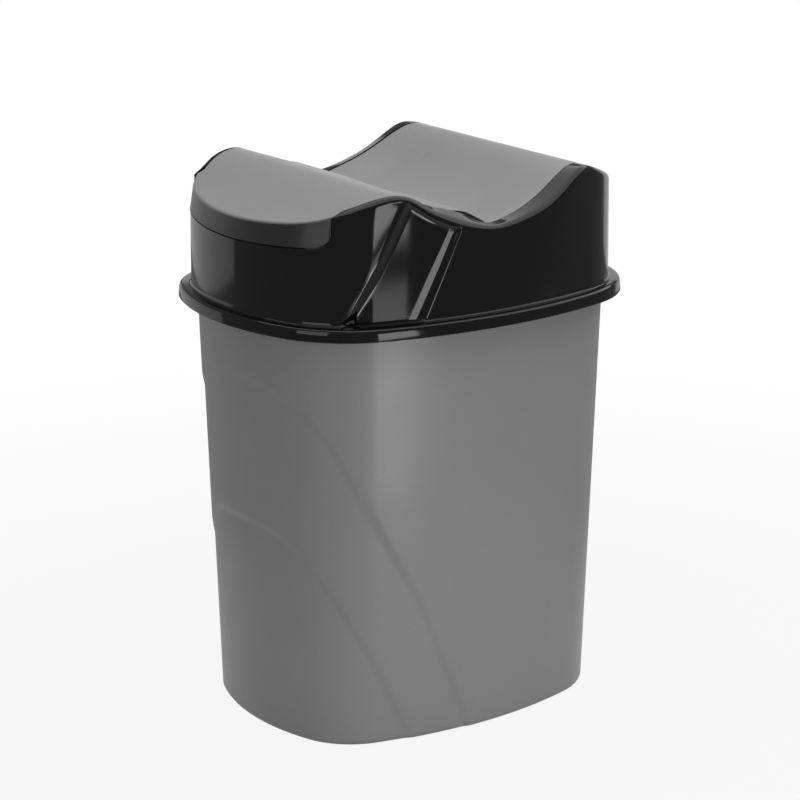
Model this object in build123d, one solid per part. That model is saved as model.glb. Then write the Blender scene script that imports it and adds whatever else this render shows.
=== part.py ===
from build123d import *
import math
import os

# Swing-lid kitchen bin: a tapered bucket, a lid frame that sits over its rim,
# and a wave-shaped flap that rocks on two moulded pins in the frame.
# Millimetres, +Z up, origin on the floor under the middle of the base.
# The front, where the flap has its lip, faces -Y.

# Plan outline of the base: bowed sides and ends, round corners
BASE_HALF_WIDTH = 90.0
BASE_HALF_DEPTH = 116.0
SIDE_BOW_RADIUS = 282.0
END_BOW_RADIUS = 143.0
CORNER_RADIUS = 49.0

# Bucket
RIM_HEIGHT = 267.5
BUCKET_DRAFT = 8.1
BUCKET_WALL = 2.0
FLOOR_THICKNESS = 2.4
FOOT_RING_WIDTH = 9.0
FOOT_RING_HEIGHT = 1.6
BASE_EDGE_RADIUS = 4.0
FLANGE_THICKNESS = 2.0
FLANGE_LIP_DEPTH = 3.4
FLANGE_LIP_WALL = 1.6

# Moulded arches on the front of the bucket, each one a step inwards
RELIEF_STEP = 1.3
OUTER_ARCH_TOP = 227.6
OUTER_ARCH_FOOT = 56.0
INNER_ARCH_TOP = 135.6
INNER_ARCH_FOOT = 25.0

# Lid frame
FRAME_WALL = 2.0
FRAME_OUTSET = 3.7
FRAME_DRAFT = 1.2
BAND_OUTSET = 10.9
BAND_DEPTH = 5.5
BAND_CLEARANCE = 0.5
FRONT_LEDGE_WIDTH = 5.0
BACK_LEDGE_WIDTH = 10.3
LEDGE_EDGE_RADIUS = 3.4
BAND_EDGE_RADIUS = 1.8

# Wave of the lid top, seen from the side: distance from the middle, height
WAVE_FRONT = (-132.0, 324.0)
WAVE_FRONT_SLOPE = (-104.0, 332.8)
WAVE_FRONT_CREST = (-67.0, 344.6)
WAVE_FRONT_FALL = (-34.0, 333.4)
WAVE_VALLEY = (2.0, 320.4)
WAVE_BACK_RISE = (33.0, 329.2)
WAVE_BACK_SHOULDER = (52.0, 340.7)
WAVE_BACK_CREST = (66.0, 347.3)
WAVE_BACK_FALL = (80.0, 344.8)
WAVE_BACK_SLOPE = (98.0, 338.2)
WAVE_BACK = (132.0, 326.5)

# Slanted channel in each side of the frame
CHANNEL_DEPTH = 2.8
CHANNEL_WIDTH = 34.0
CHANNEL_FOOT = -78.0
CHANNEL_LEAN = 0.52
CHANNEL_TOP_MARGIN = 7.0

# Swing flap
FLAP_WALL = 2.0
FLAP_HALF_WIDTH = 90.0
FLAP_BACK_END = 77.5
FLAP_GAP = 1.1
SKIRT_HALF_WIDTH = 76.0
SKIRT_BOTTOM = 313.4
SKIRT_CORNER_RADIUS = 8.5
SKIRT_PROUD = 0.6
SKIRT_CLEARANCE = 1.0
SKIRT_START = -80.0
STOP_CLEARANCE = 0.3
STOP_WALL = 1.8
STOP_HEIGHT = 8.0

# Pivot pins of the flap, their housings and the bearing lugs of the frame
PIVOT_PLACE = (-18.0, 318.0)
PIN_RADIUS = 3.2
PIN_CLEARANCE = 0.08
PIN_ROOT = 12.0
PIN_REACH = 7.0
PIN_BOSS_RADIUS = 5.4
PIN_WEB_HALF_WIDTH = 4.0
LUG_THICKNESS = 4.0
LUG_HALF_WIDTH = 8.0
LUG_DROP = 8.5
LUG_MOUTH = 5.2
HOUSING_LENGTH = 70.0
HOUSING_FRONT = (-46.0, 336.0)
HOUSING_SHOULDER = (-18.0, 331.7)
HOUSING_FOOT = (1.0, 320.5)
HOUSING_CORNER_RADIUS = 5.0

# Heights and offsets that follow from the sizes above
FRAME_TOP = 360.0
FRAME_OFFSET = BUCKET_DRAFT + FRAME_OUTSET
SHOULDER_TOP = RIM_HEIGHT + FRAME_WALL
BAND_BOTTOM = RIM_HEIGHT - BAND_DEPTH
FLANGE_OFFSET = BUCKET_DRAFT + BAND_OUTSET - FRAME_WALL - BAND_CLEARANCE
FAR = 200.0


def bow_centres():
    """Centres of the side arc, the end arc and the corner arc in the +X -Y quarter."""
    side = Vector(BASE_HALF_WIDTH - SIDE_BOW_RADIUS, 0)
    end = Vector(0, END_BOW_RADIUS - BASE_HALF_DEPTH)
    reach_side = SIDE_BOW_RADIUS - CORNER_RADIUS
    reach_end = END_BOW_RADIUS - CORNER_RADIUS
    span = end - side
    distance = span.length
    along = (reach_side**2 - reach_end**2 + distance**2) / (2 * distance)
    across = math.sqrt(reach_side**2 - along**2)
    unit = span / distance
    corner = side + unit * along + Vector(unit.Y, -unit.X) * across
    return side, end, corner


def plan_outline(offset):
    """Face with the bin's plan outline, grown by offset on every side."""
    side, end, corner = bow_centres()
    to_side = (corner - side).normalized()
    to_end = (corner - end).normalized()
    side_joint = side + to_side * (SIDE_BOW_RADIUS + offset)
    end_joint = end + to_end * (END_BOW_RADIUS + offset)
    corner_mid = corner + (to_side + to_end).normalized() * (CORNER_RADIUS + offset)
    half_width = BASE_HALF_WIDTH + offset
    half_depth = BASE_HALF_DEPTH + offset

    def place(point, sx, sy):
        return (sx * point.X, -sy * point.Y)

    edges = []
    for sx, sy in ((1, -1), (1, 1), (-1, 1), (-1, -1)):
        edges.append(
            ThreePointArc(place(side_joint, sx, sy), place(corner_mid, sx, sy), place(end_joint, sx, sy))
        )
    for s in (1, -1):
        edges.append(ThreePointArc(place(side_joint, s, -1), (s * half_width, 0), place(side_joint, s, 1)))
        edges.append(ThreePointArc(place(end_joint, -1, s), (0, s * half_depth), place(end_joint, 1, s)))
    return make_face(edges)


def plan_slab(offset, low, high):
    """Straight slab with the plan outline, from height low to height high."""
    return extrude(Pos(0, 0, low) * plan_outline(offset), high - low)


def bucket_body(inset, low, high, edge_radius):
    """Tapered block inside the bucket's outer face by inset, its lowest edge rounded."""
    def ring(height):
        return Pos(0, 0, height) * plan_outline(BUCKET_DRAFT * height / RIM_HEIGHT - inset)

    block = loft([ring(low), ring(high)], ruled=True)
    lowest = block.faces().sort_by(Axis.Z)[0]
    return fillet(lowest.edges(), edge_radius)


def frame_body(inset, low, high):
    """Nearly straight block inside the lid frame's wall by inset, between two heights."""
    lean = FRAME_DRAFT / (FRAME_TOP - SHOULDER_TOP)

    def ring(height):
        return Pos(0, 0, height) * plan_outline(FRAME_OFFSET - inset - lean * (height - SHOULDER_TOP))

    return loft([ring(low), ring(high)], ruled=True)


def side_prism(edges, half_width=FAR):
    """Prism along X from edges drawn as (distance, height) in the side view."""
    face = Pos(-half_width, 0, 0) * (Plane.YZ * make_face(edges))
    return extrude(face, 2 * half_width)


def wave_points(drop):
    names = (
        WAVE_FRONT, WAVE_FRONT_SLOPE, WAVE_FRONT_CREST, WAVE_FRONT_FALL, WAVE_VALLEY,
        WAVE_BACK_RISE, WAVE_BACK_SHOULDER, WAVE_BACK_CREST, WAVE_BACK_FALL, WAVE_BACK_SLOPE, WAVE_BACK,
    )
    return [(y, z - drop) for y, z in names]


def under_wave(drop, floor=0.0):
    """Everything below the lid's wave, lowered by drop, down to the height floor."""
    points = wave_points(drop)
    front, back = points[0], points[-1]
    edges = [
        Spline(*points),
        Polyline(back, (FAR, back[1]), (FAR, floor), (-FAR, floor), (-FAR, front[1]), front),
    ]
    return side_prism(edges)


def below_arch(top, foot):
    """Block below one relief arch: seen from the corner, it falls from the front middle to the foot."""
    start = -(BASE_HALF_DEPTH + BUCKET_DRAFT * top / RIM_HEIGHT) / math.sqrt(2)
    reach = foot - start
    arch = Spline(
        (start, top),
        (start + 0.36 * reach, 0.93 * top),
        (start + 0.60 * reach, 0.69 * top),
        (start + 0.81 * reach, 0.40 * top),
        (foot, -FLOOR_THICKNESS),
        tangents=[(1, 0), (0.25, -1)],
    )
    frame = Polyline((foot, -FLOOR_THICKNESS), (foot, -20), (-FAR, -20), (-FAR, top), (start, top))
    corner_view = Plane(origin=(0, 0, 0), x_dir=(1, 1, 0), z_dir=(1, -1, 0))
    block = extrude(corner_view * make_face([arch, frame]), FAR)
    right = block & Pos(FAR, 0, 0) * Box(2 * FAR, 4 * FAR, 4 * FAR)
    return right + mirror(right, Plane.YZ)


def relief_body(inset, low, high, edge_radius, lift=0.0):
    """Bucket block with the two arches stepped in; lift raises the arches for the inner face."""
    outer = Pos(0, 0, lift) * below_arch(OUTER_ARCH_TOP, OUTER_ARCH_FOOT)
    inner = Pos(0, 0, lift) * below_arch(INNER_ARCH_TOP, INNER_ARCH_FOOT)
    upper = bucket_body(inset, low, high, edge_radius) - outer
    middle = bucket_body(inset + RELIEF_STEP, low, high, edge_radius) - inner
    lower = bucket_body(inset + 2 * RELIEF_STEP, low, high, edge_radius)
    return lower + middle + upper


def make_bucket():
    """Tapered bucket with a foot ring, a flange that carries the lid and a turned-down lip."""
    body = relief_body(0.0, 0.0, RIM_HEIGHT, BASE_EDGE_RADIUS)
    flange = plan_slab(FLANGE_OFFSET, RIM_HEIGHT - FLANGE_THICKNESS, RIM_HEIGHT)
    lip = plan_slab(FLANGE_OFFSET, RIM_HEIGHT - FLANGE_LIP_DEPTH, RIM_HEIGHT)
    lip -= plan_slab(FLANGE_OFFSET - FLANGE_LIP_WALL, 0, RIM_HEIGHT)
    inside_floor = FOOT_RING_HEIGHT + FLOOR_THICKNESS
    inner_radius = BASE_EDGE_RADIUS - BUCKET_WALL
    hollow = relief_body(BUCKET_WALL, inside_floor, RIM_HEIGHT + 1, inner_radius, lift=BUCKET_WALL)
    foot_hollow = plan_slab(-2 * RELIEF_STEP - FOOT_RING_WIDTH, -1, FOOT_RING_HEIGHT)
    return body + flange + lip - hollow - foot_hollow


def channel_prism(margin, top_drop):
    """Slanted strip for the channel, seen from the side, margin wider all round."""
    half = CHANNEL_WIDTH / 2 + margin
    low = SHOULDER_TOP - 3 * margin
    high = FRAME_TOP
    foot = CHANNEL_FOOT + CHANNEL_LEAN * (low - SHOULDER_TOP)
    head = CHANNEL_FOOT + CHANNEL_LEAN * (high - SHOULDER_TOP)
    edges = Polyline((foot - half, low), (foot + half, low), (head + half, high), (head - half, high), close=True)
    return side_prism(edges) & under_wave(top_drop)


def flap_plan(gap):
    """Plan of the flap opening as a tall block, grown by gap."""
    half_width = FLAP_HALF_WIDTH + gap
    back_end = FLAP_BACK_END + gap
    front = frame_body(FRONT_LEDGE_WIDTH - gap, BAND_BOTTOM, FRAME_TOP)
    front &= Pos(0, -FAR, 0) * Box(2 * half_width, 2 * FAR, 4 * FAR)
    back = frame_body(BACK_LEDGE_WIDTH - gap, BAND_BOTTOM, FRAME_TOP)
    back &= Pos(0, back_end / 2, 0) * Box(2 * half_width, back_end, 4 * FAR)
    return front + back


def skirt_view(gap, bottom):
    """Tall slab along Y with the skirt's front view: round lower corners."""
    half_width = SKIRT_HALF_WIDTH + gap
    height = FRAME_TOP - bottom
    view = Pos(0, bottom + height / 2) * RectangleRounded(2 * half_width, height, SKIRT_CORNER_RADIUS + gap)
    slab = extrude(Plane.XZ * view, FAR)
    return slab & Pos(0, SKIRT_START - FAR, 0) * Box(2 * FAR, 2 * FAR, 4 * FAR)


def lug_pair():
    """Bearing lugs that hang under the frame's ledges, with snap mouths for the pins."""
    y, z = PIVOT_PLACE
    inner = FLAP_HALF_WIDTH + FLAP_GAP
    middle = inner + LUG_THICKNESS / 2
    height = FRAME_TOP - z + LUG_DROP
    lugs = []
    for side in (1, -1):
        block = Pos(side * middle, y, z - LUG_DROP + height / 2) * Box(LUG_THICKNESS, 2 * LUG_HALF_WIDTH, height)
        hole = Pos(side * middle, y, z) * Rot(0, 90, 0) * Cylinder(PIN_RADIUS + PIN_CLEARANCE, 2 * LUG_THICKNESS)
        mouth = Pos(side * middle, y, z - LUG_DROP) * Box(2 * LUG_THICKNESS, LUG_MOUTH, 2 * LUG_DROP)
        lugs.append(block - hole - mouth)
    return (lugs[0] + lugs[1]) & under_wave(FRAME_WALL / 2)


def make_lid_frame():
    """Lid frame: rim band, tall wall with a wave-shaped top, opening for the flap."""
    shell = frame_body(0.0, SHOULDER_TOP, FRAME_TOP) & under_wave(0.0)
    wave_edges = shell.edges().filter_by(lambda edge: edge.center().Z > SKIRT_BOTTOM)
    shell = fillet(wave_edges, LEDGE_EDGE_RADIUS)
    band = plan_slab(BUCKET_DRAFT + BAND_OUTSET, BAND_BOTTOM, SHOULDER_TOP)
    band_top = band.faces().sort_by(Axis.Z)[-1]
    band = fillet(band_top.edges(), BAND_EDGE_RADIUS)
    solid = shell + band
    hollow = frame_body(FRAME_WALL, BAND_BOTTOM - 1, FRAME_TOP) & under_wave(FRAME_WALL)
    under_band = plan_slab(FLANGE_OFFSET + BAND_CLEARANCE, BAND_BOTTOM - 1, RIM_HEIGHT)
    solid = solid - hollow - under_band

    channel_back = frame_body(FRAME_WALL / 2, SHOULDER_TOP - 1, FRAME_TOP)
    channel_back -= frame_body(CHANNEL_DEPTH + FRAME_WALL, BAND_BOTTOM, FRAME_TOP + 1)
    solid += channel_back & channel_prism(FRAME_WALL, FRAME_WALL / 2) & under_wave(FRAME_WALL / 2, RIM_HEIGHT)

    stop_inset = SKIRT_CLEARANCE + FLAP_WALL - SKIRT_PROUD
    stop = frame_body(FRAME_WALL / 2, SKIRT_BOTTOM - STOP_HEIGHT, FRAME_TOP)
    stop -= frame_body(stop_inset + STOP_WALL, BAND_BOTTOM, FRAME_TOP + 1)
    solid += stop & skirt_view(FLAP_GAP + STOP_WALL, SKIRT_BOTTOM - STOP_HEIGHT) & under_wave(FRAME_WALL / 2)

    opening = flap_plan(FLAP_GAP) - under_wave(FLAP_WALL + STOP_CLEARANCE)
    notch = Box(3 * FAR, 3 * FAR, 4 * FAR) - frame_body(stop_inset, BAND_BOTTOM, FRAME_TOP)
    notch &= skirt_view(FLAP_GAP, SKIRT_BOTTOM - FLAP_GAP)
    notch += skirt_view(FLAP_GAP, SKIRT_BOTTOM) - under_wave(FLAP_WALL + STOP_CLEARANCE)
    outside = Box(3 * FAR, 3 * FAR, 4 * FAR) - frame_body(CHANNEL_DEPTH, BAND_BOTTOM, FRAME_TOP)
    outside -= Pos(0, 0, SHOULDER_TOP - 2 * FAR) * Box(3 * FAR, 3 * FAR, 4 * FAR)
    channel = channel_prism(0.0, CHANNEL_TOP_MARGIN) & outside
    solid = solid - opening - notch - channel
    return solid + (lug_pair() & frame_body(FRAME_WALL / 2, BAND_BOTTOM, FRAME_TOP))


def pivot_housings():
    """Long low housings over the pivot pins, one at each side of the flap."""
    corners = [HOUSING_FRONT, HOUSING_SHOULDER, HOUSING_FOOT]
    floor = WAVE_VALLEY[1] - FLAP_WALL
    outline = Polyline(*corners, (HOUSING_FOOT[0], floor), (HOUSING_FRONT[0], floor), close=True)
    block = extrude(Plane.YZ * make_face(outline), HOUSING_LENGTH)
    shoulder = block.edges().filter_by(Axis.X).sort_by(
        lambda edge: abs(edge.center().Y - HOUSING_SHOULDER[0]) + abs(edge.center().Z - HOUSING_SHOULDER[1])
    )[0]
    block = fillet(shoulder, HOUSING_CORNER_RADIUS) - under_wave(FLAP_WALL / 2)
    right = Pos(FLAP_HALF_WIDTH - HOUSING_LENGTH, 0, 0) * block
    return right + mirror(right, Plane.YZ)


def make_swing_flap():
    """Wave-shaped flap with a front skirt, pivot housings and two moulded pins."""
    wave = under_wave(0.0) - under_wave(FLAP_WALL)
    panel = flap_plan(0.0) & wave
    front = frame_body(-SKIRT_PROUD, BAND_BOTTOM, FRAME_TOP) & skirt_view(0.0, SKIRT_BOTTOM)
    lip = front & wave
    skirt = front - frame_body(FLAP_WALL - SKIRT_PROUD, BAND_BOTTOM - 1, FRAME_TOP + 1)
    skirt &= under_wave(FLAP_WALL / 2)
    flap = panel + lip + skirt + pivot_housings()
    y, z = PIVOT_PLACE
    for side in (1, -1):
        boss_middle = side * (FLAP_HALF_WIDTH - PIN_ROOT / 2)
        boss = Pos(boss_middle, y, z) * Rot(0, 90, 0) * Cylinder(PIN_BOSS_RADIUS, PIN_ROOT)
        web_height = FRAME_TOP - z
        web = Pos(boss_middle, y, z + web_height / 2) * Box(PIN_ROOT, 2 * PIN_WEB_HALF_WIDTH, web_height)
        pin_middle = side * (FLAP_HALF_WIDTH + (PIN_REACH - PIN_ROOT) / 2)
        pin = Pos(pin_middle, y, z) * Rot(0, 90, 0) * Cylinder(PIN_RADIUS, PIN_ROOT + PIN_REACH)
        flap += boss + pin + (web & under_wave(FLAP_WALL / 2))
    return flap


def main():
    nodes = {
        "bucket": make_bucket(),
        "lid_frame": make_lid_frame(),
        "swing_flap": make_swing_flap(),
    }
    os.makedirs("parts", exist_ok=True)
    for name, shape in nodes.items():
        print(name, len(shape.solids()), "solid", round(shape.volume / 1000, 1), "cm3")
        export_step(shape, f"parts/{name}.step")


main()
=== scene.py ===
# %% [markdown]
# Swing-lid kitchen bin
#
# The real bin is three injection mouldings: a tapered tub in satin grey plastic, a lid
# frame in polished black plastic, and a grey flap that rocks on two stub pins. This
# lesson builds each moulding as one thin-walled mesh, gives each its own plastic, and
# lights them like a small product shoot. Sizes in the cells are millimetres, since
# moulding drawings use them, and one helper turns them into Blender's metres.

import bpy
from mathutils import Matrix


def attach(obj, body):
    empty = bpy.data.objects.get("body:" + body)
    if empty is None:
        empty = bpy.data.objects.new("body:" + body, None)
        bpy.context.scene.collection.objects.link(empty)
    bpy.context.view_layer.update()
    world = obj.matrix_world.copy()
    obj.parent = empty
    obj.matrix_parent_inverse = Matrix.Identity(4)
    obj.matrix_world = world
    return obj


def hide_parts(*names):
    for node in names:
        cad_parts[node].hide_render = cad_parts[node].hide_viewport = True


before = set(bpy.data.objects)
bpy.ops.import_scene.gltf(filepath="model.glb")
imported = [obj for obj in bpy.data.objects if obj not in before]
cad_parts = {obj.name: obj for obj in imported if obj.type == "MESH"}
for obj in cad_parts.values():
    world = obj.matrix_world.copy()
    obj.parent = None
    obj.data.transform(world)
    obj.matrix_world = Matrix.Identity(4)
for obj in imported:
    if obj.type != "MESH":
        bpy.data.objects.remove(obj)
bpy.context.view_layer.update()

# %% Tools and the unit
import math
import bpy
from mathutils import Quaternion, Vector

MM = 0.001
TINY = 1e-6
print("one millimetre is", MM, "of Blender's units")

# %% [markdown]
# The plan outline
#
# Seen from above, every level of the bin has the same outline: gently bowed sides and
# ends, joined by round corners. A higher or lower level only moves that line in or out
# along its own normal. So one function of the distance along the line is enough for
# all three mouldings: it gives a point and the outward direction there. It could be a
# curve object with offsets, but a formula gives exact offsets and even spacing.

# %% Arcs of the outline
HALF_WIDTH, HALF_DEPTH = 90.0, 116.0
SIDE_RADIUS, END_RADIUS, CORNER_RADIUS = 282.0, 143.0, 49.0

side_centre = Vector((HALF_WIDTH - SIDE_RADIUS, 0.0))
end_centre = Vector((0.0, END_RADIUS - HALF_DEPTH))
between = end_centre - side_centre
reach_side = SIDE_RADIUS - CORNER_RADIUS
reach_end = END_RADIUS - CORNER_RADIUS
along = (reach_side**2 - reach_end**2 + between.length**2) / (2 * between.length)
across = math.sqrt(reach_side**2 - along**2)
unit = between.normalized()
corner_centre = side_centre + unit * along + Vector((unit.y, -unit.x)) * across

END_ANGLE = math.atan2(corner_centre.x, -(corner_centre.y - end_centre.y))
SIDE_ANGLE = math.atan2(corner_centre.x - side_centre.x, -corner_centre.y)
END_LENGTH = END_RADIUS * END_ANGLE
CORNER_LENGTH = CORNER_RADIUS * (SIDE_ANGLE - END_ANGLE)
QUARTER = END_LENGTH + CORNER_LENGTH + SIDE_RADIUS * (math.pi / 2 - SIDE_ANGLE)
LOOP = 4 * QUARTER
print("outline is", round(LOOP), "mm around, a quarter is", round(QUARTER, 1), "mm")


# %% Point and outward direction on the outline
def outline(s):
    """Point and outward direction at distance s from the front middle, towards +X."""
    s = s % LOOP
    sign_x = 1 if s <= 2 * QUARTER else -1
    s = s if s <= 2 * QUARTER else LOOP - s
    sign_y = 1 if s <= QUARTER else -1
    s = s if s <= QUARTER else 2 * QUARTER - s
    if s < END_LENGTH:
        angle, centre, radius = s / END_RADIUS, end_centre, END_RADIUS
    elif s < END_LENGTH + CORNER_LENGTH:
        angle = END_ANGLE + (s - END_LENGTH) / CORNER_RADIUS
        centre, radius = corner_centre, CORNER_RADIUS
    else:
        angle = SIDE_ANGLE + (s - END_LENGTH - CORNER_LENGTH) / SIDE_RADIUS
        centre, radius = side_centre, SIDE_RADIUS
    nx, ny = math.sin(angle), -math.cos(angle)
    x, y = centre.x + radius * nx, centre.y + radius * ny
    return sign_x * x, sign_y * y, sign_x * nx, sign_y * ny


def at(s, offset, z):
    """Point of the level z whose outline is grown by offset."""
    x, y, nx, ny = outline(s)
    return (x + offset * nx, y + offset * ny, z)


def from_front(s):
    """Distance from the front middle, whichever way round is shorter."""
    return min(s % LOOP, LOOP - s % LOOP)


print("the outline's side is at x =", round(at(QUARTER, 0, 0)[0], 1), "mm")


# %% Finding a place on the outline
BISECTIONS = 40


def first_reach(test, low, high):
    """The place between low and high from which on test is no longer true."""
    for _ in range(BISECTIONS):
        middle = (low + high) / 2
        low, high = (middle, high) if test(middle) else (low, middle)
    return (low + high) / 2


def s_at_x(x, offset):
    """Distance along the outline where the front reaches x."""
    return first_reach(lambda s: at(s, offset, 0)[0] < x, 0.0, QUARTER)


def s_at_y(y, offset):
    """Distance along the outline where the right side reaches y."""
    return first_reach(lambda s: at(s, offset, 0)[1] < y, 0.0, 2 * QUARTER)


print("the front reaches x = 50 mm after", round(s_at_x(50, 0), 1), "mm")

# %% [markdown]
# Smooth lines through a few points
#
# The wave of the lid and the arches on the tub are soft moulded curves. A natural cubic
# spline through a few measured points gives them without flat spots or kinks.


# %% Cubic spline
class SmoothLine:
    """Natural cubic spline: height as a function of distance."""

    def __init__(self, points):
        self.x = [p[0] for p in points]
        self.y = [p[1] for p in points]
        count = len(points)
        h = [self.x[i + 1] - self.x[i] for i in range(count - 1)]
        right, upper = [0.0] * count, [0.0] * count
        for i in range(1, count - 1):
            slope_change = (self.y[i + 1] - self.y[i]) / h[i] - (self.y[i] - self.y[i - 1]) / h[i - 1]
            pivot = 2 * (h[i - 1] + h[i]) - h[i - 1] * upper[i - 1]
            upper[i] = h[i] / pivot
            right[i] = (6 * slope_change - h[i - 1] * right[i - 1]) / pivot
        self.bend = [0.0] * count
        for i in range(count - 2, 0, -1):
            self.bend[i] = right[i] - upper[i] * self.bend[i + 1]
        self.h = h

    def __call__(self, x):
        x = min(max(x, self.x[0]), self.x[-1])
        i = 0
        while i < len(self.h) - 1 and x > self.x[i + 1]:
            i += 1
        h, t = self.h[i], (x - self.x[i])
        a, b = self.bend[i], self.bend[i + 1]
        first = (self.y[i + 1] - self.y[i]) / h - h * (2 * a + b) / 6
        return self.y[i] + first * t + a * t**2 / 2 + (b - a) * t**3 / (6 * h)

    def slope(self, x, step=0.05):
        return (self(x + step) - self(x - step)) / (2 * step)


hump = SmoothLine([(0, 0), (10, 5), (20, 0)])
print("a 5 mm hump is", round(hump(5), 2), "mm high halfway up its slope")


# %% Soft step and even stops
def soft_step(x, start, end, rounding):
    """0 before start, 1 after end, straight between, with rounded corners this wide."""
    width = end - start
    t, half = (x - start) / width, rounding / width / 2

    def area(u):
        return 0.0 if u < 0 else u * u / 2 if u < 1 else u - 0.5

    return (area(t + half) - area(t - half)) / (2 * half)


def spaced(start, end, step):
    """Even stops from start to end, about step apart, without the last."""
    count = max(1, round(abs(end - start) / step))
    return [start + (end - start) * i / count for i in range(count)]


print("soft step halfway:", soft_step(2.0, 0.0, 4.0, 1.0), "stops:", spaced(0, 10, 4))

# %% [markdown]
# Thin walls as a grid
#
# A moulding is an outer skin and an inner skin about 2 mm apart. Both are laid out on
# the same grid of rows and columns, so the builder below can join them: it makes both
# skins, and wherever the grid ends or a cell is left out it adds the rim between them.
# A Solidify modifier would do nearly the same, but it can't keep a chosen inner shape,
# such as a rim channel. A small Bevel rounds the rims, as a mould's edges are.

# %% Mesh object from points in millimetres
SMOOTH_BELOW, BEVEL_ABOVE = math.radians(38), math.radians(48)


def make_object(name, points, faces, bevel=0.0):
    """Smooth-shaded mesh object, with rims rounded by a bevel this wide."""
    mesh = bpy.data.meshes.new(name)
    mesh.from_pydata([tuple(c * MM for c in p) for p in points], [], faces)
    mesh.validate()
    for polygon in mesh.polygons:
        polygon.use_smooth = True
    mesh.set_sharp_from_angle(angle=SMOOTH_BELOW)
    piece = bpy.data.objects.new(name, mesh)
    bpy.context.scene.collection.objects.link(piece)
    if bevel:
        rounding = piece.modifiers.new("rounded rims", "BEVEL")
        rounding.width = bevel * MM
        rounding.segments = 3
        rounding.limit_method = "ANGLE"
        rounding.angle_limit = BEVEL_ABOVE
    return piece


print("edges are smooth below", round(math.degrees(SMOOTH_BELOW)), "degrees")


# %% Shell from two grids
def shell(name, outer, inner, around=False, keep=None, bevel=0.0):
    """Closed thin wall between two grids of points given as rows of columns."""
    rows, columns = len(outer), len(outer[0])
    keep = keep or (lambda i, j: True)
    last = columns if around else columns - 1
    points = [p for row in outer for p in row] + [p for row in inner for p in row]
    shift = rows * columns

    def index(i, j):
        return i * columns + j % columns

    kept = {(i, j) for i in range(rows - 1) for j in range(last) if keep(i, j)}
    faces = []
    for i, j in sorted(kept):
        a, b, c, d = index(i, j), index(i, j + 1), index(i + 1, j + 1), index(i + 1, j)
        faces.append((a, b, c, d))
        faces.append((d + shift, c + shift, b + shift, a + shift))
        before = (i, (j - 1) % last if around else j - 1)
        after = (i, (j + 1) % last if around else j + 1)
        sides = ((i - 1, j), b, a), ((i + 1, j), d, c), (before, a, d), (after, c, b)
        for neighbour, p, q in sides:
            if neighbour not in kept:
                faces.append((p, q, q + shift, p + shift))
    used = sorted({k for face in faces for k in face})
    new = {old: k for k, old in enumerate(used)}
    faces = [tuple(new[k] for k in face) for face in faces]
    return make_object(name, [points[k] for k in used], faces, bevel)


print("shell builder ready: two skins and the rims between them")

# %% [markdown]
# The tub
#
# The tub tapers by 8 mm from rim to base so that it leaves its mould and nests. Two
# arches are stepped into the front, each 1.3 mm deeper than the face around it, with
# soft shoulders about 4 mm wide that catch the light. Each column of the grid runs in
# one closed profile: under the foot ring, up the outside, round the flange that the lid
# sits on, and down the inside to the floor. A displacement modifier could press the
# arches in, but working out the wall's depth point by point keeps the wall even.

# %% Arches on the front of the tub
RELIEF_STEP, SHOULDER = 1.3, 4.2

# distance from the front middle along the outline, and height of the arch there
outer_arch = SmoothLine([
    (0, 227.6), (29, 224.7), (45, 219.4), (57, 212), (68.6, 198.6), (79, 180.2), (90, 157.2),
    (102, 133.8), (114.7, 111), (125, 91.6), (135.5, 65), (147, 37), (159, 8.4), (166, -9),
])
inner_arch = SmoothLine([
    (0, 135.6), (29, 133.2), (44.6, 126.4), (55, 118.2), (67, 103.4), (75.5, 91), (84, 76),
    (96, 54.3), (106, 32.2), (119.6, 4.2), (126, -9),
])


def relief(s, z):
    """How far the wall is stepped in below the two arches."""
    s = from_front(s)
    depth = 0.0
    for arch in (outer_arch, inner_arch):
        if s < arch.x[-1]:
            below = (arch(s) - z) / math.sqrt(1 + arch.slope(s) ** 2)
            depth += RELIEF_STEP * soft_step(below, -SHOULDER / 2, SHOULDER / 2, SHOULDER * 0.7)
    return depth


print("depth inside both arches:", round(relief(0, 60), 2), "mm")

# %% Profile of the tub
RIM_HEIGHT, DRAFT, TUB_WALL = 267.5, 8.1, 2.0
FOOT_ROUND, WALL_START, NECK = 4.0, 5.5, 264.0
FLANGE, FLANGE_LIP = 16.5, 14.9
FLOOR_TOP, FLOOR_ROUND_TOP = 4.0, 8.0
ROW_OUTSIDE, ROW_INSIDE = 1.6, 4.0


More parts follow.
